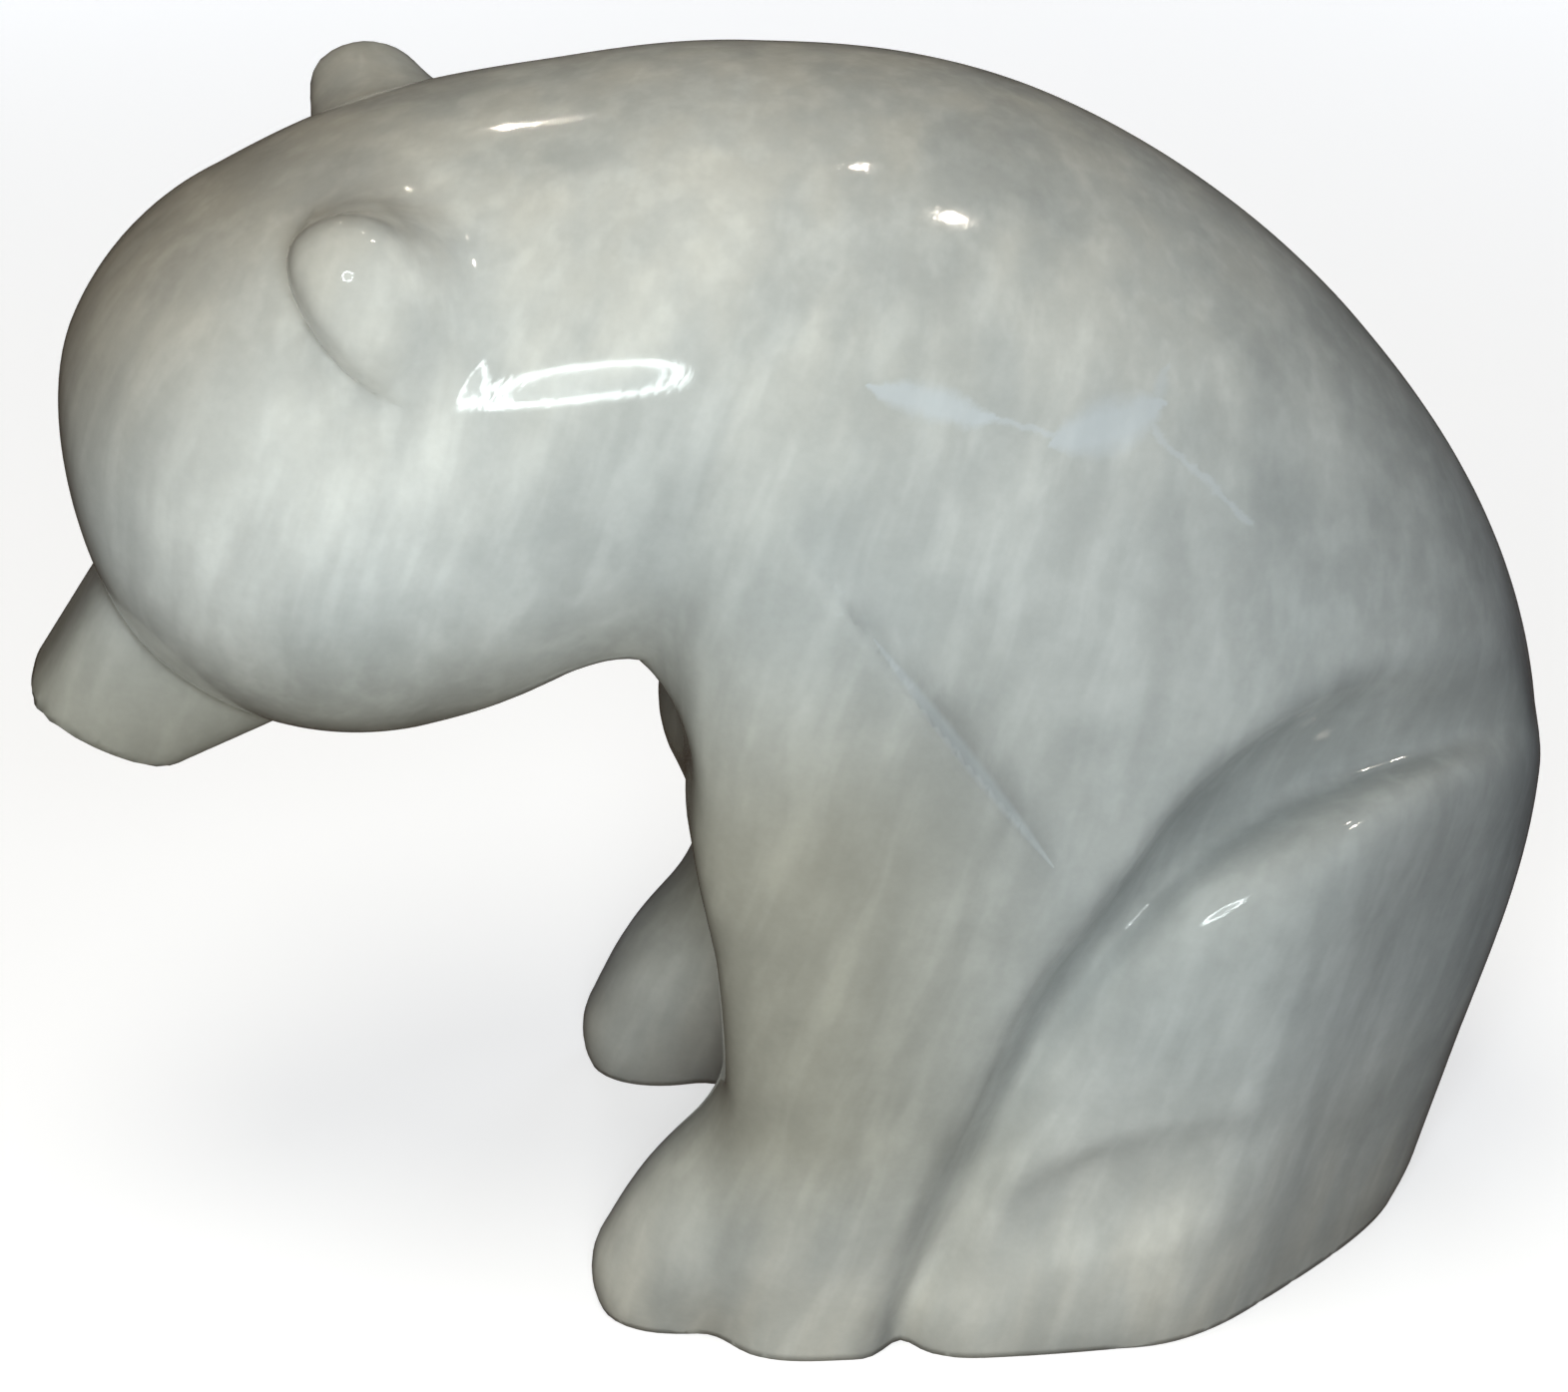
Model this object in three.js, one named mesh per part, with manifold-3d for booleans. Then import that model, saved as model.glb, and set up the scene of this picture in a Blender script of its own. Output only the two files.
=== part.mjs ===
// Marble bear figurine: a sitting bear with a bowed head, carved from one block of stone.
// Millimetres. The bear looks along -X, its left side is -Y, and it sits on the plane z = 0.
import * as THREE from "three";
import { mergeVertices } from "three/addons/utils/BufferGeometryUtils.js";
import Module from "manifold-3d";

// Real size of the carving.
const HEIGHT = 207; // underside to the top of the back
const WIDTH = 117; // across the haunches

// The carving is given in shares: along, up and through in hundredths of the height, sideways in
// hundredths of the width. A softness is the reach, in hundredths of the height, over which two
// masses flow together.
const H = HEIGHT / 100;
const W = WIDTH / 100;

// Softness of each place where two masses meet.
const BROW_SOFT = 4.8;
const SHOULDER_SOFT = 7.7;
const CHEST_SOFT = 3.9;
const THROAT_SOFT = 2.9;
const FOOT_SOFT = 2.4;
const CHANNEL_SOFT = 1.9;
const SIDE_SOFT = 4.4;
const HIND_FOOT_SOFT = 1.4;
const HAUNCH_SOFT = 1.4;
const INSTEP_SOFT = 1.9;
const BACK_SOFT = 3.4;
const EAR_SOFT = 3.6;
const EAR_EDGE_SOFT = 1.5;
const EDGE_SOFT = 0.7;

// The ridge of the shoulder, in the side view: its two ends, and how the flank falls behind it.
const RIDGE_TOP = [-0.5, 72];
const RIDGE_FOOT = [18.4, 45.4];
const RIDGE_FALL = 4.2; // how far behind the ridge the fall ends
const RIDGE_LEFT = 0.1; // share of the shoulder's swell that is left behind the ridge
const RIDGE_FADE = 6.3; // half the length over which each end of the ridge dies away

// The brow, the muzzle, the ears and the rear of each thigh are cut by flat faces, each through a
// point of the side view: degrees below level, looking forward.
const BROW_POINT = [-54.8, 65.8];
const BROW_DIP = 13;
const MUZZLE_POINT = [-53.7, 47.8];
const MUZZLE_DIP = 60;
const EAR_POINT = [-34.9, 90.8];
const EAR_DIP = 19;
const EAR_SIDE = -30.8; // how far to the side the ear's face is hung
const EAR_TURN = -0.13; // how far the ear's face turns outwards
const REAR_POINT = [34.6, 19.9];
const REAR_DIP = 169.5;
const REAR_SIDE = -49.1;
const REAR_TURN = -1.26;

// Squareness of a section: 2 is an oval, and more brings it nearer a box.
const OVAL = 2;
const RUMP = 2.1;
const FOREFOOT = 2.2;
const HIND_FOOT = 2.4;
const PILLAR = 3;
const THIGH = 6;

// Grain of the faceted surface.
const CELL = 3; // grid step
const GRID_SHIFTS = [0, 0.31, 0.57]; // places of the grid, in steps, until the surface closes
const HALF_LENGTH = 0.62; // half the length of the grid's box, in heights
const FOOTING = 9; // stone kept below the ground until the sole is cut flat
const SOLE_REACH = 0.8; // corners this near the ground are brought to it
const TRIANGLES = 9600;

const rad = (degrees) => (degrees * Math.PI) / 180;

// Two masses joined, flowing into each other over the given softness. A mass is given by a number
// that is negative inside it and grows like a distance outside.
function join(a, b, softness) {
  const reach = softness * H;
  const h = Math.max(reach - Math.abs(a - b), 0) / reach;
  return Math.min(a, b) - (h * h * reach) / 4;
}

// What two masses have in common, with its edge rounded over the given softness.
function shared(a, b, softness) {
  return -join(-a, -b, softness);
}

// Rises from 0 to 1 between two values, level at both.
function rise(from, to, value) {
  const t = Math.min(Math.max((value - from) / (to - from), 0), 1);
  return t * t * (3 - 2 * t);
}

// A limb: a smooth spine drawn in the side view, with an oval or squarish section at every point.
// A station gives x and z of the spine, half the depth in the side view, half the width, and how far
// the spine lies to the side. The nearest station is looked for at posts along the spine, and then
// closed in on by parabolas that get shorter each time.
function limb(squareness, steps, stations) {
  const CLOSINGS = 3;
  const SHORTER = 0.35;
  const TINY = 1e-3;
  const rows = stations.map(([x, z, depth, half, side]) => [x * H, z * H, depth * H, half * W, side * W]);
  const spans = rows.length - 1;
  const guide = [rows[0], ...rows, rows[spans]];
  const s = new Float64Array(5);
  const along = (t) => {
    const i = Math.min(Math.floor(t), spans - 1);
    const u = t - i;
    for (let k = 0; k < 5; k++) {
      const a = guide[i][k];
      const b = guide[i + 1][k];
      const c = guide[i + 2][k];
      const d = guide[i + 3][k];
      s[k] = 0.5 * (2 * b + u * (c - a + u * (2 * a - 5 * b + 4 * c - d + u * (3 * (b - c) + d - a))));
    }
    return s;
  };
  const half = squareness / 2;
  const apart = (at, k, x, y, z) => {
    const u2 = ((x - at[k]) ** 2 + (z - at[k + 1]) ** 2) / at[k + 2] ** 2;
    const v2 = (y - at[k + 4]) ** 2 / at[k + 3] ** 2;
    return squareness === OVAL ? u2 + v2 : u2 ** half + v2 ** half;
  };
  const count = spans * steps + 1;
  const posts = new Float64Array(count * 5);
  for (let i = 0; i < count; i++) posts.set(along(i / steps), i * 5);
  return (x, y, z) => {
    let best = Infinity;
    let t = 0;
    for (let i = 0; i < count; i++) {
      const q = apart(posts, i * 5, x, y, z);
      if (q < best) {
        best = q;
        t = i / steps;
      }
    }
    let h = 1 / steps;
    for (let closing = 0; closing < CLOSINGS; closing++) {
      const c = Math.min(Math.max(t, h), spans - h);
      const before = apart(along(c - h), 0, x, y, z);
      const here = apart(along(c), 0, x, y, z);
      const after = apart(along(c + h), 0, x, y, z);
      const bend = before - 2 * here + after;
      let shift = before < after ? -1 : 1;
      if (bend > 1e-12) shift = Math.min(Math.max((0.5 * (before - after)) / bend, -1), 1);
      t = Math.min(Math.max(c + shift * h, 0), spans);
      h *= SHORTER;
    }
    along(t);
    const u = Math.hypot(x - s[0], z - s[1]) / s[2];
    const v = Math.abs(y - s[4]) / s[3];
    const k = Math.max((u ** squareness + v ** squareness) ** (1 / squareness), TINY);
    const steep = Math.hypot((u / k) ** (squareness - 1) / s[2], (v / k) ** (squareness - 1) / s[3]);
    return (k - 1) / Math.max(steep, TINY / 10);
  };
}

// A flat face through a point of the side view, looking forward and down by some degrees. It can be
// hung to the side and turned outwards. Positive in front of the face.
function face([px, pz], dip, side = 0, out = 0) {
  const n = new THREE.Vector3(-Math.cos(rad(dip)), out, -Math.sin(rad(dip))).normalize();
  return (x, y, z) => (x - px * H) * n.x + (y - side * W) * n.y + (z - pz * H) * n.z;
}

// Head, neck, arched back, rump and belly in one sweep, from the forehead down to the seat.
const trunk = limb(OVAL, 8, [
  [-32.6, 70.6, 23.1, 39.3, 0],
  [-24.2, 73.4, 24.1, 39.3, 0],
  [-14, 76, 23.3, 39.7, 0],
  [-2.9, 76, 24.2, 40.6, 0],
  [9.2, 69.2, 28.9, 41.9, 0],
  [20.8, 56, 32.3, 42.7, 0],
  [29, 39.6, 32.8, 45.3, 0],
  [30.4, 20.3, 27.1, 46.2, 0],
  [29, -3.9, 22.7, 46.2, 0],
]);
const brow = face(BROW_POINT, BROW_DIP);

// The breast between the forelegs.
const chest = limb(PILLAR, 3, [
  [8.2, 54.1, 15.5, 29.1, 0],
  [8.2, 43.5, 14.5, 28.2, 0],
  [8.2, 24.2, 13.3, 28.2, 0],
  [8.2, -4.8, 13, 28.2, 0],
]);

// The hollow under the head, right across the figure.
const throat = limb(OVAL, 3, [
  [-14, 51.4, 5.3, 103, 0],
  [-19.3, 44.4, 7.7, 103, 0],
  [-27.1, 31.9, 14.5, 103, 0],
]);

// Shoulder and foreleg, then the forefoot with its toe.
const foreleg = limb(PILLAR, 5, [
  [6.9, 65, 11, 7.4, -32.5],
  [7.7, 61.5, 13.8, 10.6, -33],
  [8.7, 55.6, 16.7, 12.8, -33.6],
  [8.9, 46.9, 17.1, 13.7, -33.8],
  [8.2, 35.7, 14.7, 13.7, -33.8],
  [6, 23.7, 11.8, 13.7, -33.8],
  [4.1, 13.5, 10.4, 13.7, -33.8],
  [2.9, -3.9, 9.7, 13.7, -33.8],
]);
const forefoot = limb(FOREFOOT, 4, [
  [3.9, 15.4, 10.4, 13.7, -33.6],
  [-4.8, 8.6, 8.5, 12, -32.1],
  [-9.2, 2.9, 7.5, 9.8, -30.8],
]);

// Thigh and hind foot, both kept inside the rounded block of the rump.
const haunch = limb(THIGH, 4, [
  [50, 23.5, 24.2, 34, -15.8],
  [41, 23, 22.3, 34, -15.8],
  [31, 16, 16.3, 33.5, -16],
  [24.3, 9.3, 12.2, 32.7, -16],
  [17.5, 3.5, 7.8, 30.6, -16],
]);
const hindFoot = limb(HIND_FOOT, 3, [
  [33.8, 6.8, 9.7, 13.7, -36.8],
  [21.7, 3.9, 8.2, 15.4, -36.3],
  [15, 1.4, 7.2, 15.4, -35.9],
]);
const rumpLine = limb(RUMP, 4, [
  [29, 58, 30.5, 49, 0],
  [29, 43.5, 32.6, 50, 0],
  [29, 29, 30.7, 50, 0],
  [28.5, 9.7, 26.8, 50, 0],
  [27.5, -4.8, 24.6, 49.6, 0],
]);
const RUMP_START = 28.5; // forward of this the block keeps its full width
const rump = (x, y, z) => rumpLine(Math.max(x, RUMP_START * H), y, z);
const rear = face(REAR_POINT, REAR_DIP, REAR_SIDE, REAR_TURN);

// The shallow groove that sets the hind foot off from the thigh.
const instep = limb(OVAL, 3, [
  [13.5, 9.8, 1.8, 2.8, -51.4],
  [20.7, 14, 4.4, 6.2, -51.4],
  [28.3, 16.5, 4.8, 6.7, -51.4],
  [36.5, 19.2, 2.8, 4.2, -51.4],
]);

// The channel that sets the thigh off from the flank and runs out over the rump.
const channel = limb(OVAL, 4, [
  [8.6, -2.1, 3.3, 8.5, -52],
  [10.5, 3.7, 3.8, 9.8, -52],
  [17.2, 17.6, 5.8, 10.5, -52],
  [23.1, 30.9, 6.7, 11, -51.5],
  [27.8, 36.6, 7.5, 11.7, -51],
  [32, 40.7, 8.7, 13, -50],
  [36.8, 43.4, 10.8, 13.8, -48],
  [43, 45.6, 12.5, 14, -45],
  [50.4, 47.4, 12.6, 12.4, -39.5],
  [57, 48.6, 10.8, 9, -32],
  [63, 49, 8.6, 6.5, -23.5],
]);

// The short square muzzle.
const muzzle = limb(PILLAR, 4, [
  [-39.7, 60.5, 11.2, 17.1, 0],
  [-54.5, 47.6, 5.9, 12.8, 0],
]);
const muzzleEnd = face(MUZZLE_POINT, MUZZLE_DIP);

// The ear of the left side: a blunt cone that leans outwards, cut off flat in front.
const ear = limb(OVAL, 6, [
  [-30.5, 88.4, 6, 11.2, -27.8],
  [-31.7, 90.8, 4.7, 6.2, -32.6],
]);
const earFace = face(EAR_POINT, EAR_DIP, EAR_SIDE, EAR_TURN);

// How much of the shoulder's swell stays: all of it in front of the ridge, little behind it.
function shoulderShare(x, z) {
  const dx = RIDGE_FOOT[0] - RIDGE_TOP[0];
  const dz = RIDGE_FOOT[1] - RIDGE_TOP[1];
  const length = Math.hypot(dx, dz);
  const px = x / H - RIDGE_TOP[0];
  const pz = z / H - RIDGE_TOP[1];
  const down = (px * dx + pz * dz) / length;
  const behind = (pz * dx - px * dz) / length;
  const fall = 1 - Math.min(Math.max(behind / RIDGE_FALL, 0), 1);
  const here =
    rise(-RIDGE_FADE, RIDGE_FADE, down) * rise(length + RIDGE_FADE, length - RIDGE_FADE, down);
  return 1 - here * (1 - RIDGE_LEFT) * (1 - fall * fall);
}

// The whole bear; both sides are alike.
function bear(x, y, z) {
  const side = -Math.abs(y);
  const body = shared(trunk(x, side, z), brow(x, side, z), BROW_SOFT);
  const swell = body - join(body, foreleg(x, side, z), SHOULDER_SOFT);
  let upper = body - swell * shoulderShare(x, z);
  upper = join(upper, chest(x, side, z), CHEST_SOFT);
  upper = shared(upper, -throat(x, side, z), THROAT_SOFT);
  upper = join(upper, forefoot(x, side, z), FOOT_SOFT);
  upper = shared(upper, -channel(x, side, z), CHANNEL_SOFT);
  const block = rump(x, side, z);
  const limbs = join(haunch(x, side, z), hindFoot(x, side, z), HIND_FOOT_SOFT);
  const leg = shared(shared(limbs, block, SIDE_SOFT), -instep(x, side, z), INSTEP_SOFT);
  let form = join(upper, leg, HAUNCH_SOFT);
  form = shared(form, rear(x, side, z), BACK_SOFT);
  const eared = shared(join(form, ear(x, side, z), EAR_SOFT), earFace(x, side, z), EAR_EDGE_SOFT);
  form = Math.min(form, eared);
  const snout = shared(muzzle(x, side, z), muzzleEnd(x, side, z), EDGE_SOFT);
  form = join(form, snout, EDGE_SOFT);
  return Math.max(form, -FOOTING - z);
}

// The surface of a form inside a box, one vertex in each grid cell that it crosses. The vertex lies
// where the tangent planes of the crossings meet, so that a carved edge stays an edge.
function surface(form, low, high, cell) {
  const BLOCK = 4; // grid steps between the points that are measured first
  const NEAR = 1.25; // blocks from the surface within which every point is measured
  const INSIDE = -1e-3; // grid steps: what is written into a closed slit
  const NUDGE = 0.04; // millimetres between two looks at the form, for its slope
  const ROUNDS = 4; // tries at finding where a grid line crosses the surface
  const KEPT = 0.05; // share of a stretch that every try leaves on either side
  const HOLD = 0.03; // pull of a vertex towards the middle of its crossings
  const n = low.map((v, i) => Math.ceil((high[i] - v) / cell / BLOCK) * BLOCK + 1);
  const index = (i, j, k) => (i * n[1] + j) * n[2] + k;
  const at = (axis, i) => low[axis] + i * cell;
  const value = new Float64Array(n[0] * n[1] * n[2]);
  const rough = new Map();
  const nearest = (i) => Math.floor((i + BLOCK / 2) / BLOCK) * BLOCK;
  const roughAt = (i, j, k) => {
    const key = index(i, j, k);
    if (!rough.has(key)) rough.set(key, form(at(0, i), at(1, j), at(2, k)));
    return rough.get(key);
  };
  const stop = n.map((count) => count - 1);
  for (let i = 0; i < n[0]; i++) {
    for (let j = 0; j < n[1]; j++) {
      for (let k = 0; k < n[2]; k++) {
        const far = roughAt(
          Math.min(nearest(i), stop[0]),
          Math.min(nearest(j), stop[1]),
          Math.min(nearest(k), stop[2]),
        );
        const close = Math.abs(far) < cell * BLOCK * NEAR;
        value[index(i, j, k)] = close ? form(at(0, i), at(1, j), at(2, k)) : far;
      }
    }
  }

  // Where two sheets of the surface would share one grid square, the slit between them is closed.
  const step = [n[1] * n[2], n[2], 1];
  const last = value.length - step[0] - step[1];
  for (let open = true; open; ) {
    open = false;
    for (let key = 0; key < last; key++) {
      for (const [u, v] of [[step[0], step[1]], [step[1], step[2]], [step[0], step[2]]]) {
        const inside = value[key] < 0;
        if (value[key + u + v] < 0 !== inside) continue;
        if (value[key + u] < 0 === inside || value[key + v] < 0 === inside) continue;
        const [a, b] = inside ? [key + u, key + v] : [key, key + u + v];
        value[value[a] < value[b] ? a : b] = INSIDE * cell;
        open = true;
      }
    }
  }

  const cells = new Map();
  const quads = [];
  const cellOf = (key) => {
    if (!cells.has(key)) {
      const fresh = { id: cells.size, m: new Float64Array(6), b: [0, 0, 0], c: [0, 0, 0], w: 0 };
      cells.set(key, fresh);
    }
    return cells.get(key);
  };
  for (let axis = 0; axis < 3; axis++) {
    const u = (axis + 1) % 3;
    const v = (axis + 2) % 3;
    const i = [0, 0, 0];
    for (i[0] = 0; i[0] < stop[0]; i[0]++) {
      for (i[1] = 0; i[1] < stop[1]; i[1]++) {
        for (i[2] = 0; i[2] < stop[2]; i[2]++) {
          const key = index(...i);
          const a = value[key];
          const b = value[key + step[axis]];
          if (a < 0 === b < 0 || !i[u] || !i[v]) continue;
          let t0 = 0;
          let t1 = 1;
          let f0 = a;
          let f1 = b;
          let t = 0;
          const p = [at(0, i[0]), at(1, i[1]), at(2, i[2])];
          const start = p[axis];
          for (let round = 0; round < ROUNDS; round++) {
            const share = Math.min(Math.max(f0 / (f0 - f1), KEPT), 1 - KEPT);
            t = t0 + share * (t1 - t0);
            p[axis] = start + t * cell;
            const f = form(...p);
            if (f < 0 === f0 < 0) [t0, f0] = [t, f];
            else [t1, f1] = [t, f];
          }
          t = t0 + ((t1 - t0) * f0) / (f0 - f1);
          p[axis] = start + t * cell;
          const g = [0, 1, 2].map((d) => {
            const ahead = [...p];
            const behind = [...p];
            ahead[d] += NUDGE;
            behind[d] -= NUDGE;
            return form(...ahead) - form(...behind);
          });
          const size = Math.hypot(...g);
          const [nx, ny, nz] = g.map((d) => d / size);
          const along = nx * p[0] + ny * p[1] + nz * p[2];
          const squares = [nx * nx, nx * ny, nx * nz, ny * ny, ny * nz, nz * nz];
          const touched = [key - step[u] - step[v], key - step[v], key, key - step[u]];
          const around = touched.map((cellKey) => {
            const c = cellOf(cellKey);
            squares.forEach((q, k) => (c.m[k] += q));
            [nx, ny, nz].forEach((q, k) => (c.b[k] += q * along));
            p.forEach((q, k) => (c.c[k] += q));
            c.w += 1;
            return c.id;
          });
          quads.push(a < 0 ? around : around.reverse());
        }
      }
    }
  }

  const points = [];
  for (const [key, c] of cells) {
    const m = c.c.map((q) => q / c.w);
    const [xx, xy, xz, yy, yz, zz] = c.m;
    const matrix = new THREE.Matrix3().set(
      xx + HOLD, xy, xz,
      xy, yy + HOLD, yz,
      xz, yz, zz + HOLD,
    );
    const rest = new THREE.Vector3(
      c.b[0] - xx * m[0] - xy * m[1] - xz * m[2],
      c.b[1] - xy * m[0] - yy * m[1] - yz * m[2],
      c.b[2] - xz * m[0] - yz * m[1] - zz * m[2],
    ).applyMatrix3(matrix.invert());
    const corner = [Math.floor(key / step[0]), Math.floor(key / step[1]) % n[1], key % n[2]];
    const moved = rest.toArray().map((q, k) => {
      const first = at(k, corner[k]);
      return Math.min(Math.max(m[k] + q, first), first + cell);
    });
    points.push(moved);
  }
  const triangles = [];
  for (const [a, b, c, d] of quads) {
    const across = (p, q) => Math.hypot(...points[p].map((x, k) => x - points[q][k]));
    if (across(a, c) <= across(b, d)) triangles.push([a, b, c], [a, c, d]);
    else triangles.push([b, c, d], [b, d, a]);
  }
  return { points, triangles };
}

// Fewer facets for the same shape: the edge whose loss changes the surface least is closed up, again
// and again, until the wanted number is left.
function thinned({ points, triangles }, wanted) {
  const EVEN = 2e-4; // small cost of a long edge, which keeps the facets even
  const STAY = 1e-3; // pull of a closed edge towards its own middle
  const TURN = 0.5; // cosine of the most that a facet may turn
  const SLIVER = 0.05; // square millimetres: twice the smallest facet
  const pos = points.map((p) => [...p]);
  const faces = triangles.map((t) => [...t]);
  const alive = new Uint8Array(faces.length).fill(1);
  const ring = pos.map(() => new Set());
  const quadric = pos.map(() => new Float64Array(10));
  const plane = ([a, b, c]) => {
    const e = [0, 1, 2].map((k) => b[k] - a[k]);
    const f = [0, 1, 2].map((k) => c[k] - a[k]);
    const n = [e[1] * f[2] - e[2] * f[1], e[2] * f[0] - e[0] * f[2], e[0] * f[1] - e[1] * f[0]];
    const double = Math.hypot(...n);
    return { n: n.map((q) => q / Math.max(double, 1e-12)), double };
  };
  faces.forEach((f, i) => {
    f.forEach((v) => ring[v].add(i));
    const corners = f.map((v) => pos[v]);
    const { n, double } = plane(corners);
    const d = -(n[0] * corners[0][0] + n[1] * corners[0][1] + n[2] * corners[0][2]);
    const q = [...n, d];
    let k = 0;
    for (let r = 0; r < 4; r++) {
      for (let c = r; c < 4; c++) {
        for (const v of f) quadric[v][k] += q[r] * q[c] * double;
        k++;
      }
    }
  });
  const costAt = (q, [x, y, z]) =>
    q[0] * x * x + 2 * q[1] * x * y + 2 * q[2] * x * z + 2 * q[3] * x + q[4] * y * y +
    2 * q[5] * y * z + 2 * q[6] * y + q[7] * z * z + 2 * q[8] * z + q[9];
  const planFor = (a, b) => {
    const q = quadric[a].map((v, k) => v + quadric[b][k]);
    const middle = pos[a].map((v, k) => (v + pos[b][k]) / 2);
    const length = Math.hypot(...pos[a].map((v, k) => v - pos[b][k]));
    const hold = STAY * (q[0] + q[4] + q[7]);
    const matrix = new THREE.Matrix3().set(
      q[0] + hold, q[1], q[2],
      q[1], q[4] + hold, q[5],
      q[2], q[5], q[7] + hold,
    );
    const best = new THREE.Vector3(
      hold * middle[0] - q[3],
      hold * middle[1] - q[6],
      hold * middle[2] - q[8],
    ).applyMatrix3(matrix.invert()).toArray();
    const near = Math.hypot(...best.map((v, k) => v - middle[k])) < length;
    const to = near ? best : middle;
    return { to, q, cost: Math.max(costAt(q, to), 0) + EVEN * length ** 4 };
  };

  // A heap of edges, cheapest first.
  const heap = [];
  const put = (item) => {
    let i = heap.push(item) - 1;
    while (i > 0) {
      const up = (i - 1) >> 1;
      if (heap[up].cost <= heap[i].cost) break;
      [heap[up], heap[i]] = [heap[i], heap[up]];
      i = up;
    }
  };
  const take = () => {
    const top = heap[0];
    const last = heap.pop();
    if (!heap.length) return top;
    heap[0] = last;
    for (let i = 0; ; ) {
      let low = 2 * i + 1;
      if (low >= heap.length) break;
      if (low + 1 < heap.length && heap[low + 1].cost < heap[low].cost) low++;
      if (heap[i].cost <= heap[low].cost) break;
      [heap[low], heap[i]] = [heap[i], heap[low]];
      i = low;
    }
    return top;
  };
  const stamp = new Uint32Array(pos.length);
  const offer = (a, b) => put({ a, b, at: stamp[a] + stamp[b], ...planFor(a, b) });
  const neighbours = (v) => {
    const found = new Set();
    for (const f of ring[v]) faces[f].forEach((w) => found.add(w));
    found.delete(v);
    return found;
  };
  pos.forEach((_, v) => {
    for (const w of neighbours(v)) if (v < w) offer(v, w);
  });

  let left = faces.length;
  while (left > wanted && heap.length) {
    const { a, b, at, to, q } = take();
    if (!ring[a].size || !ring[b].size || at !== stamp[a] + stamp[b]) continue;
    const around = neighbours(b);
    let common = 0;
    for (const w of neighbours(a)) if (around.has(w)) common++;
    if (common !== 2) continue;
    const gone = [...ring[a]].filter((f) => ring[b].has(f));
    const kept = [...ring[a], ...ring[b]].filter((f) => !gone.includes(f));
    const turned = kept.some((f) => {
      const before = plane(faces[f].map((v) => pos[v]));
      const after = plane(faces[f].map((v) => (v === a || v === b ? to : pos[v])));
      const dot = before.n[0] * after.n[0] + before.n[1] * after.n[1] + before.n[2] * after.n[2];
      return dot < TURN || after.double < SLIVER;
    });
    if (turned) continue;
    for (const f of gone) {
      alive[f] = 0;
      for (const v of faces[f]) ring[v].delete(f);
      left--;
    }
    for (const f of ring[b]) {
      faces[f] = faces[f].map((v) => (v === b ? a : v));
      ring[a].add(f);
    }
    ring[b].clear();
    pos[a] = to;
    quadric[a] = q;
    stamp[a] += stamp[b] + 1;
    for (const w of neighbours(a)) offer(a, w);
  }
  return { points: pos, triangles: faces.filter((_, f) => alive[f]) };
}

// The carving as a solid that still reaches below the ground, measured on a grid that is shifted by
// some share of a step.
function carvedOn(wasm, shift) {
  const margin = (2 + shift) * CELL;
  const half = Math.ceil((WIDTH / 2 + margin) / (4 * CELL)) * 4 * CELL;
  const low = [-HALF_LENGTH * HEIGHT - margin, -half, -FOOTING - margin];
  const high = [HALF_LENGTH * HEIGHT + margin, half, HEIGHT + margin];
  const { points, triangles } = thinned(surface(bear, low, high, CELL), TRIANGLES);
  const used = new Map();
  const vertProperties = [];
  for (const v of triangles.flat()) {
    if (used.has(v)) continue;
    used.set(v, used.size);
    const [x, y, z] = points[v];
    vertProperties.push(x, y, Math.abs(z) < SOLE_REACH ? 0 : z);
  }
  return new wasm.Manifold(
    new wasm.Mesh({
      numProp: 3,
      vertProperties: new Float32Array(vertProperties),
      triVerts: new Uint32Array(triangles.flat().map((v) => used.get(v))),
    }),
  );
}

// Everything below the ground.
function groundOf(wasm) {
  const box = mergeVertices(
    new THREE.BoxGeometry(4 * HEIGHT, 4 * HEIGHT, HEIGHT)
      .translate(0, 0, -HEIGHT / 2)
      .deleteAttribute("normal")
      .deleteAttribute("uv"),
  );
  return new wasm.Manifold(
    new wasm.Mesh({
      numProp: 3,
      vertProperties: box.attributes.position.array,
      triVerts: new Uint32Array(box.index.array),
    }),
  );
}

// The carving with its sole cut flat and its length centred over the origin. On some grids two sheets
// of the surface meet in one point, so the next place of the grid is tried then.
async function carving() {
  const wasm = await Module();
  wasm.setup();
  let solid = null;
  for (const shift of GRID_SHIFTS) {
    try {
      solid = carvedOn(wasm, shift);
      break;
    } catch (pinched) {
      if (shift === GRID_SHIFTS[GRID_SHIFTS.length - 1]) throw pinched;
    }
  }
  const { vertProperties: at, triVerts, numProp } = solid.subtract(groundOf(wasm)).getMesh();
  const count = at.length / numProp;
  const positions = new Float32Array(count * 3);
  for (let i = 0; i < count; i++) {
    positions.set(at.subarray(i * numProp, i * numProp + 3), i * 3);
  }
  const geometry = new THREE.BufferGeometry();
  geometry.setAttribute("position", new THREE.BufferAttribute(positions, 3));
  geometry.setIndex(new THREE.BufferAttribute(triVerts, 1));
  geometry.computeBoundingBox();
  const { min, max } = geometry.boundingBox;
  geometry.translate(-(min.x + max.x) / 2, 0, 0);
  geometry.computeVertexNormals();
  return geometry;
}

// Pale grey marble with a polish.
function marble() {
  const stone = new THREE.MeshStandardMaterial({ color: 0xb4bab2, roughness: 0.22, metalness: 0 });
  stone.name = "polished grey marble";
  return stone;
}

const figurine = new THREE.Group();
figurine.name = "marble bear figurine";
const figure = new THREE.Mesh(await carving(), marble());
figure.name = "bear";
figurine.add(figure);

export default figurine;
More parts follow.
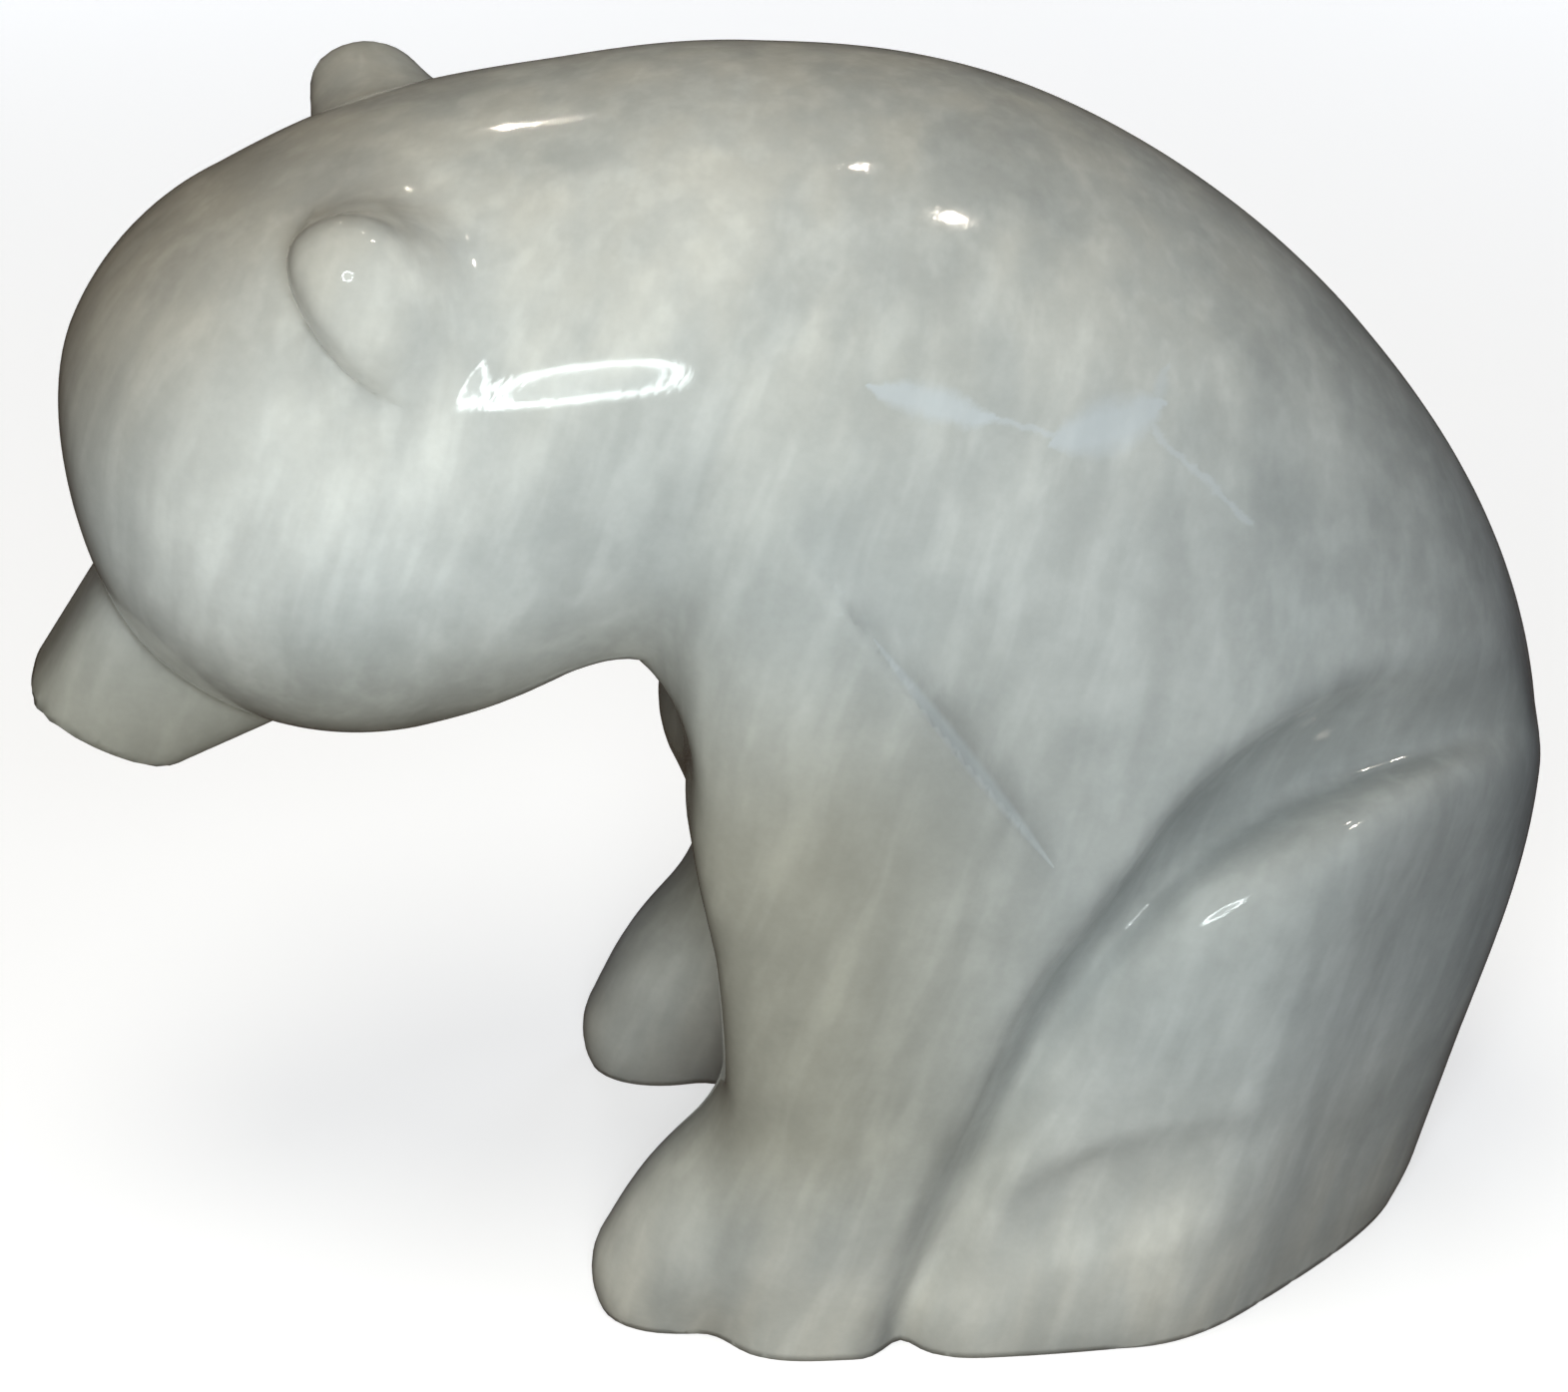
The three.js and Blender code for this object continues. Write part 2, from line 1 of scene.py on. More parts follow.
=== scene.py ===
# %% [markdown]
# # A polished marble bear
#
# The real object is one block of pale grey marble, carved into a sitting bear and polished until it
# shines. In this lesson the carving is built from a handful of soft masses, turned into one fine
# mesh, and given a stone that is cloudy, faintly streaked and glossy. A rough version of the carving
# already exists as a measured frame; the fine one takes its size and its place from it.

# %% Load the frame
import math
import bpy
import numpy as np
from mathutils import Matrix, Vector


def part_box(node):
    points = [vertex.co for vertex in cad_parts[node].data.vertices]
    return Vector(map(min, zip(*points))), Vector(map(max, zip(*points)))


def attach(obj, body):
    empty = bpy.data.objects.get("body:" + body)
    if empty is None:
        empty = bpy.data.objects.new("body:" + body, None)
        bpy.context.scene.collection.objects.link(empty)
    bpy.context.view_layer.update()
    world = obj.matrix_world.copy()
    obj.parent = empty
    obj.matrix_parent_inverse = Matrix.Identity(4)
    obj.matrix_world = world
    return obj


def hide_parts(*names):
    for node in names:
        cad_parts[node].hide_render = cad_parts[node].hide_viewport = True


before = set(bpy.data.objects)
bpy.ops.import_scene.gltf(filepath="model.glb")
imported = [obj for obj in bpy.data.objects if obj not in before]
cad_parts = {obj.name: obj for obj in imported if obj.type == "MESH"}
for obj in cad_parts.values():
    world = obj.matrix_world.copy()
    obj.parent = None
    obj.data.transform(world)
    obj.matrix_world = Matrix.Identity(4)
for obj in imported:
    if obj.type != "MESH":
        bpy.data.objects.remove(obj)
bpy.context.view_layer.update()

MM = 1000
node_low, node_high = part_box("bear")
print("frame box in mm", [round(MM * v) for v in node_high - node_low])

# %% [markdown]
# Everything on the figure is told in shares of its size, as a sculptor does with callipers: along, up
# and through in hundredths of the height, sideways in hundredths of the width. The places could be
# typed in metres, but then they would fit one frame only. The two unit lengths come from the frame,
# so the bear grows with it.

# %% Unit lengths
HEIGHT = node_high.z - node_low.z
WIDTH = node_high.y - node_low.y
H = HEIGHT / 100
W = WIDTH / 100
print("one share of the height is", round(MM * H, 3), "mm")

# %% [markdown]
# A smooth carving could be pushed and pulled by hand from a ball. Here each mass is a function
# instead: a number that is negative inside the mass, zero on its skin, and grows with the distance
# outside. Two masses join by taking the smaller number, and they flow together where the two are
# nearly equal. The softness is the reach of that flow. This gives the soft valleys of a piece that
# was rubbed down with water and grit, and it never leaves a seam. The same rule turned inside out
# keeps only what two masses share, and that is how stone is trimmed and hollowed.

# %% Joining and trimming
def join(a, b, softness):
    reach = softness * H
    h = np.maximum(reach - np.abs(a - b), 0) / reach
    return np.minimum(a, b) - h * h * reach / 4


def shared(a, b, softness):
    return -join(-a, -b, softness)


print("two equal masses swell by", round(MM * -join(0.0, 0.0, 4.0), 2), "mm where they meet")

# %% [markdown]
# Most of an animal is limbs, and its trunk is only the largest. A limb could be a bevelled curve or a
# row of scaled rings. Here it is a function too, so that limbs can flow into each other: a smooth
# spine drawn in the side view, with a section at every point of it. Each station gives the spine's x
# and z, half the depth in the side view, half the width, and how far the spine lies to the side. A
# squareness of 2 makes the section an oval, and more brings it nearer a box with rounded edges.
#
# The section nearest to a point is first looked for at posts along the spine, and then closed in on
# in a few rounds. Each round lays a parabola through three places and goes to its lowest point.

# %% A limb
ROUNDS = 3
ROUND_SHRINK = 0.35
LEAST_BEND = 1e-12
LEAST_SHARE = 1e-3
LEAST_STEEPNESS = 0.1


def limb(squareness, steps, stations):
    rows = np.array(stations, float) * [H, H, H, W, W]
    spans = len(rows) - 1
    guide = np.vstack([rows[:1], rows, rows[-1:]])
    a, b, c, d = (guide[i:i + spans] for i in range(4))
    curve = 0.5 * np.stack([2 * b, c - a, 2 * a - 5 * b + 4 * c - d, 3 * (b - c) + d - a])
    half = squareness / 2

    def along(t):
        i = np.clip(t.astype(int), 0, spans - 1)
        u = (t - i)[:, None]
        k = curve[:, i]
        return (k[0] + u * (k[1] + u * (k[2] + u * k[3]))).T

    def apart(section, x, y, z):
        sx, sz, depth, wide, side = section
        u2 = ((x - sx) ** 2 + (z - sz) ** 2) / depth ** 2
        v2 = (y - side) ** 2 / wide ** 2
        return u2 + v2 if squareness == 2 else u2 ** half + v2 ** half

    places = np.arange(spans * steps + 1) / steps
    posts = along(places).T

    def value(x, y, z):
        best = np.full(len(x), np.inf)
        t = np.zeros(len(x))
        for place, post in zip(places, posts):
            q = apart(post, x, y, z)
            nearer = q < best
            best = np.where(nearer, q, best)
            t = np.where(nearer, place, t)
        h = 1 / steps
        for _ in range(ROUNDS):
            c = np.clip(t, h, spans - h)
            before, here, after = (apart(along(c + s), x, y, z) for s in (-h, 0, h))
            bend = before - 2 * here + after
            bent = bend > LEAST_BEND
            shift = np.where(bent, 0.5 * (before - after) / np.where(bent, bend, 1),
                             np.where(before < after, -1, 1))
            t = np.clip(c + np.clip(shift, -1, 1) * h, 0, spans)
            h *= ROUND_SHRINK
        sx, sz, depth, wide, side = along(t)
        u = np.hypot(x - sx, z - sz) / depth
        v = np.abs(y - side) / wide
        k = np.maximum((u ** squareness + v ** squareness) ** (1 / squareness), LEAST_SHARE)
        steep = np.hypot((u / k) ** (squareness - 1) / depth, (v / k) ** (squareness - 1) / wide)
        return (k - 1) / np.maximum(steep, LEAST_STEEPNESS)

    return value


print("a limb is closed in on in", ROUNDS, "rounds")

# %% [markdown]
# Carvers check with callipers as they go. This small helper does the same: it measures how far a
# place lies off the skin of a mass, and less than nothing means inside. A round peg tries it out. A
# built mesh could be measured too, but only after minutes of work.

# %% Callipers
def from_skin(form, along, up, side=0):
    x, y, z = (np.array([v], float) for v in (along * H, side * W, up * H))
    return round(MM * float(form(x, y, z)[0]), 1)


peg = limb(2, 2, [[0, 0, 10, 10, 0], [0, 30, 10, 10, 0]])
print("a place 20 shares aside lies", from_skin(peg, 0, 15, 20), "mm off a peg of 10 shares")

# %% [markdown]
# The trunk is the whole sweep of this bear: the round forehead, the long neck that bows forward, the
# arched back and the rump. It could be several masses, one for each part of the body, but a carver
# sees it as one line that a hand can follow, so it is one limb. The brow is then rubbed a little
# flat. A flat cut is a face: a point on it, how far it dips, and how far it looks out to the side.

# %% Trunk and brow
def face(point, dip, side=0, out=0):
    n = np.array([-math.cos(math.radians(dip)), out, -math.sin(math.radians(dip))])
    n /= np.linalg.norm(n)

    def value(x, y, z):
        return (x - point[0] * H) * n[0] + (y - side * W) * n[1] + (z - point[1] * H) * n[2]

    return value


trunk = limb(2, 8, [
    [-32.6, 70.6, 23.1, 39.3, 0],
    [-24.2, 73.4, 24.1, 39.3, 0],
    [-14, 76, 23.3, 39.7, 0],
    [-2.9, 76, 24.2, 40.6, 0],
    [9.2, 69.2, 28.9, 41.9, 0],
    [20.8, 56, 32.3, 42.7, 0],
    [29, 39.6, 32.8, 45.3, 0],
    [30.4, 20.3, 27.1, 46.2, 0],
    [29, -3.9, 22.7, 46.2, 0],
])
brow = face((-54.8, 65.8), 13)
BROW_SOFT = 4.8
print("the top of the frame lies", from_skin(trunk, -2.9, 100), "mm off the trunk's skin")

# %% [markdown]
# Under the head the stone is hollowed out right across, which frees the head from the breast. The
# breast itself stays as a plain rounded block between the forelegs. The hollow could be cut with a
# boolean. As a limb that is taken away it leaves the same rounded edges as the rest.

# %% Breast and throat
chest = limb(3, 3, [
    [8.2, 54.1, 15.5, 29.1, 0],
    [8.2, 43.5, 14.5, 28.2, 0],
    [8.2, 24.2, 13.3, 28.2, 0],
    [8.2, -4.8, 13, 28.2, 0],
])
throat = limb(2, 3, [
    [-14, 51.4, 5.3, 103, 0],
    [-19.3, 44.4, 7.7, 103, 0],
    [-27.1, 31.9, 14.5, 103, 0],
])
CHEST_SOFT = 3.9
THROAT_SOFT = 2.9
print("the middle of the breast lies", from_skin(throat, 8.2, 44.4), "mm behind the hollow")

# %% [markdown]
# The foreleg is a flat pillar from the shoulder to the ground, and the forefoot is one blunt toe that
# pushes forward from it, with a notch where the two meet. A single limb with a bend would be shorter
# to write, but it would round that notch away, so the foot is a limb of its own, joined tightly.

# %% Foreleg and forefoot
foreleg = limb(3, 5, [
    [6.9, 65, 11, 7.4, -32.5],
    [7.7, 61.5, 13.8, 10.6, -33],
    [8.7, 55.6, 16.7, 12.8, -33.6],
    [8.9, 46.9, 17.1, 13.7, -33.8],
    [8.2, 35.7, 14.7, 13.7, -33.8],
    [6, 23.7, 11.8, 13.7, -33.8],
    [4.1, 13.5, 10.4, 13.7, -33.8],
    [2.9, -3.9, 9.7, 13.7, -33.8],
])
forefoot = limb(2.2, 4, [
    [3.9, 15.4, 10.4, 13.7, -33.6],
    [-4.8, 8.6, 8.5, 12, -32.1],
    [-9.2, 2.9, 7.5, 9.8, -30.8],
])
SHOULDER_SOFT = 7.7
FOOT_SOFT = 2.4
print("the middle plane lies", from_skin(foreleg, 8.2, 35.7), "mm from the foreleg")

# %% [markdown]
# The thigh and the hind foot never leave the rounded block of the rump: the carver only scratched
# them into it. Two masses pressed on from outside would stand proud of it, so both are trimmed by the
# line of the rump before they join the body. The trim is wide and soft, which gives the thigh its
# broad, rounded rim.

# %% Thigh, hind foot and rump
haunch = limb(6, 4, [
    [50, 23.5, 24.2, 34, -15.8],
    [41, 23, 22.3, 34, -15.8],
    [31, 16, 16.3, 33.5, -16],
    [24.3, 9.3, 12.2, 32.7, -16],
    [17.5, 3.5, 7.8, 30.6, -16],
])
hind_foot = limb(2.4, 3, [
    [33.8, 6.8, 9.7, 13.7, -36.8],
    [21.7, 3.9, 8.2, 15.4, -36.3],
    [15, 1.4, 7.2, 15.4, -35.9],
])
rump_line = limb(2.1, 4, [
    [29, 58, 30.5, 49, 0],
    [29, 43.5, 32.6, 50, 0],
    [29, 29, 30.7, 50, 0],
    [28.5, 9.7, 26.8, 50, 0],
    [27.5, -4.8, 24.6, 49.6, 0],
])
RUMP_FRONT = 28.5
SIDE_SOFT = 4.4
HIND_FOOT_SOFT = 1.4
HAUNCH_SOFT = 1.4


def rump(x, y, z):
    return rump_line(np.maximum(x, RUMP_FRONT * H), y, z)


print("the middle plane lies", from_skin(haunch, 41, 23), "mm from the skin of the thigh")

# %% [markdown]
# A shallow groove, the instep, parts the thigh from the foot, and behind, each thigh is rubbed down
# to one flat face. Both are cuts, so they are told the way a tool makes them: the groove by its line
# and width, the face by a point on it and the way it looks.

# %% Instep and rear face
instep = limb(2, 3, [
    [13.5, 9.8, 1.8, 2.8, -51.4],
    [20.7, 14, 4.4, 6.2, -51.4],
    [28.3, 16.5, 4.8, 6.7, -51.4],
    [36.5, 19.2, 2.8, 4.2, -51.4],
])
INSTEP_SOFT = 1.9
back_face = face((34.6, 19.9), 169.5, -49.1, -1.26)
BACK_SOFT = 3.4
print("the middle plane lies", from_skin(instep, 28.3, 16.5), "mm from the instep")

# %% [markdown]
# A round tool cut the channel that sets the thigh off from the flank. It starts as a narrow groove at
# the ground, widens as it climbs, and runs out over the rump. It could be a dent pressed into the
# mesh, but a real groove is stone that is gone, so it is a limb that is taken away.

# %% Channel
channel = limb(2, 4, [
    [8.6, -2.1, 3.3, 8.5, -52],
    [10.5, 3.7, 3.8, 9.8, -52],
    [17.2, 17.6, 5.8, 10.5, -52],
    [23.1, 30.9, 6.7, 11, -51.5],
    [27.8, 36.6, 7.5, 11.7, -51],
    [32, 40.7, 8.7, 13, -50],
    [36.8, 43.4, 10.8, 13.8, -48],
    [43, 45.6, 12.5, 14, -45],
    [50.4, 47.4, 12.6, 12.4, -39.5],
    [57, 48.6, 10.8, 9, -32],
    [63, 49, 8.6, 6.5, -23.5],
])
CHANNEL_SOFT = 1.9
print("the middle plane lies", from_skin(channel, 43, 45.6), "mm from the channel")

# %% [markdown]
# The shoulder ends behind in one straight, crisp ridge, the only sharp line on the body. A crease
# could be modelled by hand along an edge loop. Here the swell of the shoulder is multiplied by a
# share that is one in front of the ridge and drops fast behind it, so the ridge is exactly as strong
# as the shoulder is there, and it dies away at both ends.

# %% Shoulder ridge
RIDGE_TOP = np.array([-0.5, 72])
RIDGE_FOOT = np.array([18.4, 45.4])
RIDGE_FALL = 4.2
RIDGE_LEFT = 0.1
RIDGE_FADE = 6.3


def rise(start, end, value):
    t = np.clip((value - start) / (end - start), 0, 1)
    return t * t * (3 - 2 * t)


def shoulder_share(x, z):
    line = RIDGE_FOOT - RIDGE_TOP
    length = np.hypot(*line)
    px = x / H - RIDGE_TOP[0]
    pz = z / H - RIDGE_TOP[1]
    down = (px * line[0] + pz * line[1]) / length
    behind = (pz * line[0] - px * line[1]) / length
    fall = 1 - np.clip(behind / RIDGE_FALL, 0, 1)
    here = rise(-RIDGE_FADE, RIDGE_FADE, down)
    here = here * (1 - rise(length - RIDGE_FADE, length + RIDGE_FADE, down))
    return 1 - here * (1 - RIDGE_LEFT) * (1 - fall * fall)


shares = [round(float(shoulder_share(along * H, 58.7 * H)), 2) for along in (5, 9, 15)]
print("share of the swell before, on and behind the ridge", shares)

# %% [markdown]
# An ear is a blunt cone that leans outwards: rounded behind, cut off in front, and melting into the
# head through a soft cove. A cone from the menu would need its root blended by hand, so the ear is a
# limb of two stations. Its front is cut by a face that swells a little round its middle, like a
# shallow lens, so that it catches one point of light.

# %% Ears
EAR_SOFT = 3.6
EAR_EDGE_SOFT = 1.5
EAR_SWELL = 0.85
EAR_ROUND = 16
EAR_MIDDLE = (-34.9, -32, 89.8)
ear = limb(2, 6, [
    [-30, 88.2, 6.4, 11.2, -27.8],
    [-31.2, 90.5, 5.1, 6.2, -32.6],
])
ear_front = face((-34.9, 90.8), 19, -30.8, -0.13)


def ear_face(x, y, z):
    mx, my, mz = EAR_MIDDLE
    off = (x - mx * H) ** 2 + (y - my * W) ** 2 + (z - mz * H) ** 2
    return ear_front(x, y, z) - EAR_SWELL * H + off / (2 * EAR_ROUND * H)


print("the ear's front swells by", round(MM * EAR_SWELL * H, 2), "mm")

# %% [markdown]
# The muzzle is a short square peg with a flat end. It could be a bevelled cube, but as a limb with a
# high squareness it can join the head like the rest. It keeps a crisp edge, because both its cut and
# its root have almost no softness.

# %% Muzzle
EDGE_SOFT = 0.7
muzzle = limb(3, 4, [
    [-39.7, 60.5, 11.2, 17.1, 0],
    [-54.5, 47.6, 5.9, 12.8, 0],
])
muzzle_end = face((-53.7, 47.8), 60)
print("ten shares before the nose is", from_skin(muzzle_end, -63.7, 47.8), "mm beyond its flat end")

# %% [markdown]
# Now the masses go together in the order in which they lie on each other. Both sides of this bear are
# alike. A mirror modifier would leave a seam down the back, so the mirror is in the form itself: the
# sign of y is simply dropped. The last line cuts the sole flat at the height of the table.

# %% The whole bear
def bear(points):
    x, z = points[:, 0], points[:, 2]
    y = -np.abs(points[:, 1])
    body = shared(trunk(x, y, z), brow(x, y, z), BROW_SOFT)
    swell = body - join(body, foreleg(x, y, z), SHOULDER_SOFT)
    upper = body - swell * shoulder_share(x, z)
    upper = join(upper, chest(x, y, z), CHEST_SOFT)
    upper = shared(upper, -throat(x, y, z), THROAT_SOFT)
    upper = join(upper, forefoot(x, y, z), FOOT_SOFT)
    upper = shared(upper, -channel(x, y, z), CHANNEL_SOFT)
    block = rump(x, y, z)
    leg = shared(join(haunch(x, y, z), hind_foot(x, y, z), HIND_FOOT_SOFT), block, SIDE_SOFT)
    leg = shared(leg, -instep(x, y, z), INSTEP_SOFT)
    form = join(upper, leg, HAUNCH_SOFT)
    form = shared(form, back_face(x, y, z), BACK_SOFT)
    eared = shared(join(form, ear(x, y, z), EAR_SOFT), ear_face(x, y, z), EAR_EDGE_SOFT)
    form = np.minimum(form, eared)
    snout = shared(muzzle(x, y, z), muzzle_end(x, y, z), EDGE_SOFT)
    form = join(form, snout, EDGE_SOFT)
    return np.maximum(form, -z)


belly = bear(np.array([[20 * H, 0, 50 * H]]))
print("the stone round the middle of the belly is", round(-MM * float(belly[0])), "mm thick")

# %% [markdown]
# A function has no mesh yet. Blender's own remesh could wrap one, but it rounds every edge. This step
# lays a grid of small cells over the bear and measures the form at its points. Most of them are far
# from the skin and need no care: a coarse look at every fourth point tells which ones they are, and
# only the points near the skin are measured for themselves. Only one half of the bear is measured,
# because the other half mirrors it.

# %% Measure the form on a grid
CELL = 0.0017
BLOCK = 4
CHUNK = 150000
NEAR_BLOCKS = 1.25


def measured(points):
    parts = [bear(points[i:i + CHUNK]) for i in range(0, len(points), CHUNK)]
    return np.concatenate(parts)


def grid_values(low, counts):
    nearest = [np.minimum((np.arange(n) + BLOCK // 2) // BLOCK, (n - 1) // BLOCK) for n in counts]
    rough_counts = [(n - 1) // BLOCK + 1 for n in counts]
    rough_at = np.stack(np.meshgrid(*map(np.arange, rough_counts), indexing="ij"), -1)
    rough = measured(low + rough_at.reshape(-1, 3) * CELL * BLOCK).reshape(rough_counts)
    values = rough[np.ix_(*nearest)]
    near = np.abs(values) < NEAR_BLOCKS * BLOCK * CELL
    middle = counts[1] // 2
    near[:, middle + 1:] = False
    values[near] = measured(low + np.argwhere(near) * CELL)
    values[:, middle + 1:] = values[:, :middle][:, ::-1]
    return values


print("cells of", MM * CELL, "mm")

# %% [markdown]
# Where two sheets of the skin would run through one square of the grid, as in the corner under an
# ear, the mesh would pinch. Such spots could be picked out and mended by hand afterwards. It is
# surer to close these slits in the numbers, before there is a mesh: one of the two outer corners of
# the square is called stone.

# %% Close slits that are finer than the grid
JUST_INSIDE = -1e-3 * CELL


def close_slits(values):
    closed = 0
    for u, v in ((0, 1), (1, 2), (0, 2)):
        slabs = []
        for du in (0, 1):
            for dv in (0, 1):
                cut = [slice(None)] * 3
                cut[u] = slice(du, values.shape[u] - 1 + du)
                cut[v] = slice(dv, values.shape[v] - 1 + dv)
                slabs.append(values[tuple(cut)])
        a, b, c, d = slabs
        for p, q, r, s in ((a, d, b, c), (b, c, a, d)):
            crossed = (p < 0) & (q < 0) & (r >= 0) & (s >= 0)
            fill_r = crossed & (r < s)
            fill_s = crossed & ~fill_r
            r[fill_r] = JUST_INSIDE
            s[fill_s] = JUST_INSIDE
            closed += int(crossed.sum())
    return closed


pinched = np.ones((2, 2, 2))
pinched[0, 0] = pinched[1, 1] = -1
print("a trial block with a pinch needed", close_slits(pinched), "closings")

# %% [markdown]
# A grid line that starts inside the stone and ends outside must cut the skin somewhere. The middle of
# the cell would do, but it would leave steps. So the place is closed in on in three guesses, each
# along a straight line between the last two numbers. The slope of the form at that place is the
# direction in which the skin looks there.

# %% Find where the grid crosses the skin
GUESSES = 3
GUESS_LIMITS = (0.05, 0.95)
NUDGE = 4e-5
STEPS = np.eye(3)


def slopes_at(points):
    return np.stack([measured(points + NUDGE * s) - measured(points - NUDGE * s) for s in STEPS], 1)


def crossings(values, low, axis):
    u, v = (axis + 1) % 3, (axis + 2) % 3
    near, far = [slice(None)] * 3, [slice(None)] * 3
    near[axis] = slice(0, -1)
    far[axis] = slice(1, None)
    first, second = values[tuple(near)], values[tuple(far)]
    at = np.argwhere((first < 0) != (second < 0))
    at = at[(at[:, u] > 0) & (at[:, v] > 0)]
    f0, f1 = first[tuple(at.T)], second[tuple(at.T)]
    inward = f0 < 0
    t0, t1 = np.zeros(len(at)), np.ones(len(at))
    start = low + at * CELL
    for _ in range(GUESSES):
        t = t0 + np.clip(f0 / (f0 - f1), *GUESS_LIMITS) * (t1 - t0)
        f = measured(start + t[:, None] * CELL * STEPS[axis])
        same = (f < 0) == (f0 < 0)
        t0, f0 = np.where(same, t, t0), np.where(same, f, f0)
        t1, f1 = np.where(same, t1, t), np.where(same, f1, f)
    t = t0 + (t1 - t0) * f0 / (f0 - f1)
    points = start + t[:, None] * CELL * STEPS[axis]
    slopes = slopes_at(points)
    normals = slopes / np.linalg.norm(slopes, axis=1, keepdims=True)
    around = [at - STEPS[u].astype(int) * du - STEPS[v].astype(int) * dv
              for du, dv in ((1, 1), (0, 1), (0, 0), (1, 0))]
    return points, normals, np.stack(around, 1), inward


crest = slopes_at(np.array([[-3 * H, 0, 100 * H]]))[0]
print("on top of the back the skin looks along", (crest / np.linalg.norm(crest)).round(2))

# %% [markdown]
# Each crossing gives a small tangent plane. The corner of a cell is put where the planes of its
# crossings meet best, which on a carved edge is exactly on the edge. Where the skin is nearly flat
# the planes meet nowhere in particular, so a light hold keeps the corner near their middle. Four
# cells lie round every crossing, and their four corners make one face. Marching cubes would be the
# usual way, but it puts its corners on the grid lines and so chops every edge.

# %% One corner for each cell, one face for each crossing
HOLD = 0.03


def skin(values, low):
    found = [crossings(values, low, axis) for axis in range(3)]
    points, normals, around, inward = (np.concatenate(part) for part in zip(*found))
    keys = np.ravel_multi_index(around.reshape(-1, 3).T, values.shape)
    cells, corner = np.unique(keys, return_inverse=True)
    faces = corner.reshape(-1, 4)
    count = np.bincount(corner, minlength=len(cells))

    def gathered(quantity):
        return np.bincount(corner, np.repeat(quantity, 4), minlength=len(cells))

    middle = np.stack([gathered(points[:, k]) for k in range(3)], 1) / count[:, None]
    reach = (points * normals).sum(1)
    pull = np.stack([gathered(normals[:, k] * reach) for k in range(3)], 1)
    square = np.empty((len(cells), 3, 3))
    for r in range(3):
        for c in range(3):
            square[:, r, c] = gathered(normals[:, r] * normals[:, c])
    pull -= np.einsum("nrc,nc->nr", square, middle)
    moved = middle + np.linalg.solve(square + HOLD * np.eye(3), pull[:, :, None])[:, :, 0]
    first = low + np.stack(np.unravel_index(cells, values.shape), 1) * CELL
    corners = np.clip(moved, first, first + CELL)
    faces = np.where(inward[:, None], faces, faces[:, ::-1])
    return corners, faces


print("each corner is held to the middle of its crossings with", HOLD)

# %% [markdown]
# The grid has to hold the whole bear with two spare cells all round. It has as many points on the
# left as on the right, so that one layer lies exactly in the mirror plane. No layer lies in the plane
# of the table, because a skin that runs through the points themselves is neither in nor out.

# %% Carve
MARGIN = 2 * CELL
GRID_FRONT = -0.62
GRID_LENGTH = 1.24
SOLE_OFF_GRID = 0.37
half_count = math.ceil((WIDTH / 2 + MARGIN) / CELL / BLOCK) * BLOCK
span = [GRID_LENGTH * HEIGHT + 2 * MARGIN, 0, HEIGHT + 2 * MARGIN]
counts = [math.ceil(s / CELL / BLOCK) * BLOCK + 1 for s in span]
counts[1] = 2 * half_count + 1
low = np.array([GRID_FRONT * HEIGHT - MARGIN, -half_count * CELL, -MARGIN + SOLE_OFF_GRID * CELL])
values = grid_values(low, counts)
while close_slits(values):
    print("closed a slit")
corners, faces = skin(values, low)
print("carved", len(corners), "corners and", len(faces), "faces")

# %% [markdown]
# The soft trim rubs a little off the haunches, so the carving comes out nearly three hundredths too
# narrow. Three factors, one for each direction, bring it to the frame's box, and it stands for the
# frame's own node from now on. A rounder look could be had by dividing the mesh further. Smooth
# shading does it for nothing, and lets the polish run over the small faces.

# %% Make the bear
own_low, own_high = corners.min(0), corners.max(0)
share = (np.array(node_high) - np.array(node_low)) / (own_high - own_low)
corners = np.array(node_low) + (corners - own_low) * share
mesh = bpy.data.meshes.new("marble_bear")
mesh.from_pydata(corners.tolist(), [], faces.tolist())
mesh.validate()
mesh.polygons.foreach_set("use_smooth", np.ones(len(mesh.polygons), bool))
mesh.update()
figure = bpy.data.objects.new("marble_bear", mesh)
bpy.context.scene.collection.objects.link(figure)
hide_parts("bear")
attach(figure, "root")
print("fitted by", share.round(4))

# %% [markdown]
# Marble could be a photographed picture wrapped round the bear, but a picture stretches and shows a
# seam. This stone is worked out from sums instead, by a tree of nodes. Wiring a tree by hand is slow
# to read, so three helpers keep it short: one joins a value or a wire to a socket, and the other two
# add a sum or a vector sum and give back its result. A vector node takes its scale on a socket of its
# own.

# %% Wiring helpers
SCALE_SOCKET = 3
marble = bpy.data.materials.new("polished grey marble")
marble.use_nodes = True
nodes = marble.node_tree.nodes
links = marble.node_tree.links
nodes.clear()


def wire(value, socket):
    if isinstance(value, bpy.types.NodeSocket):
        links.new(value, socket)
    else:
        socket.default_value = value


def number(operation, *values, clamp=False):
    node = nodes.new("ShaderNodeMath")
    node.operation = operation
    node.use_clamp = clamp
    for i, value in enumerate(values):
        wire(value, node.inputs[i])
    return node.outputs[0]


def vector(operation, *values, result=0):
    node = nodes.new("ShaderNodeVectorMath")
    node.operation = operation
    for i, value in enumerate(values):
        socket = SCALE_SOCKET if operation == "SCALE" and i == 1 else i
        wire(value, node.inputs[socket])
    return node.outputs[result]


print("an empty stone called", marble.name)

# %% [markdown]
# The stone is drawn in the block's own space, so it runs through the bear as it does through a real
# block and doesn't follow the carving. Seen close, it is cloudy: pale and darker patches a few
# centimetres across, finer mottling inside them, and faint streaks that stand nearly upright and
# lean a little. Each is one noise at its own scale, which says how often it changes in a metre. The
# streaks are a noise that is squeezed sideways and drawn out along the lean. All but the finest are
# read at a place that is pushed about a little, so that no band is ruler-straight.

